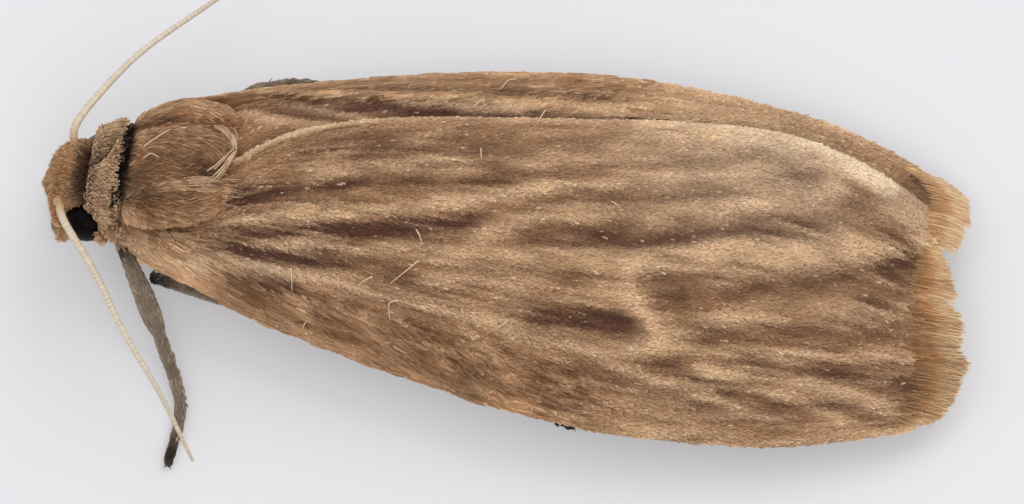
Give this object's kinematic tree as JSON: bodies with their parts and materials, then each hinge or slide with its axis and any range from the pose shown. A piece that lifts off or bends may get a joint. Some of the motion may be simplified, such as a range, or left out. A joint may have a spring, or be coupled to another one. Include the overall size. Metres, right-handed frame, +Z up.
{
  "type": "moth",
  "caption": "Small brown lichen moth at rest with folded wings, a still life-size insect model that stands on its feet.",
  "frame": {"origin": "middle of the moth's box, on the floor that it stands on", "axes": "+X from the head to the wing tips, +Y to the moth's right, +Z up"},
  "size_m": [0.0142, 0.008, 0.0026],
  "materials": {
    "wing_scales": "flat brown wing scales with a soft sheen, pale veins and darker bands",
    "body_scales": "brown hair-like scales, matt",
    "head_fur": "short tan fuzz, matt",
    "collar_scales": "overlapping ochre scales, matt",
    "belly_scales": "short greyish brown scales, matt",
    "hindwing": "thin grey-brown scales, satin",
    "leg": "grey-brown scales with dark joints, matt",
    "feeler": "pale cream ringed horn, matt",
    "eye": "glossy black, finely faceted"
  },
  "bodies": {
    "root": {"head": "head_fur", "eye_left": "eye", "palp_left": "belly_scales", "collar_left": "collar_scales", "tegula_left": "body_scales", "antenna_left_scape": "feeler", "antenna_left_flagellum_near": "feeler", "antenna_left_flagellum_far": "feeler", "forewing_left": "wing_scales", "hindwing_left": "hindwing", "eye_right": "eye", "palp_right": "belly_scales", "collar_right": "collar_scales", "tegula_right": "body_scales", "antenna_right_scape": "feeler", "antenna_right_flagellum_near": "feeler", "antenna_right_flagellum_far": "feeler", "forewing_right": "wing_scales", "hindwing_right": "hindwing", "prothorax": "belly_scales", "thorax": "body_scales", "metathorax": "body_scales", "abdomen_1": "belly_scales", "abdomen_2": "belly_scales", "abdomen_3": "belly_scales", "abdomen_4": "belly_scales", "abdomen_5": "belly_scales", "abdomen_6": "belly_scales", "abdomen_7": "belly_scales", "fore_left_coxa": "leg", "fore_left_femur": "leg", "fore_left_tibia": "leg", "fore_left_tarsus": "leg", "fore_right_coxa": "leg", "fore_right_femur": "leg", "fore_right_tibia": "leg", "fore_right_tarsus": "leg", "mid_left_coxa": "leg", "mid_left_femur": "leg", "mid_left_tibia": "leg", "mid_left_tarsus": "leg", "mid_right_coxa": "leg", "mid_right_femur": "leg", "mid_right_tibia": "leg", "mid_right_tarsus": "leg", "hind_left_coxa": "leg", "hind_left_femur": "leg", "hind_left_tibia": "leg", "hind_left_tarsus": "leg", "hind_right_coxa": "leg", "hind_right_femur": "leg", "hind_right_tibia": "leg", "hind_right_tarsus": "leg"}
  },
  "joints": []
}
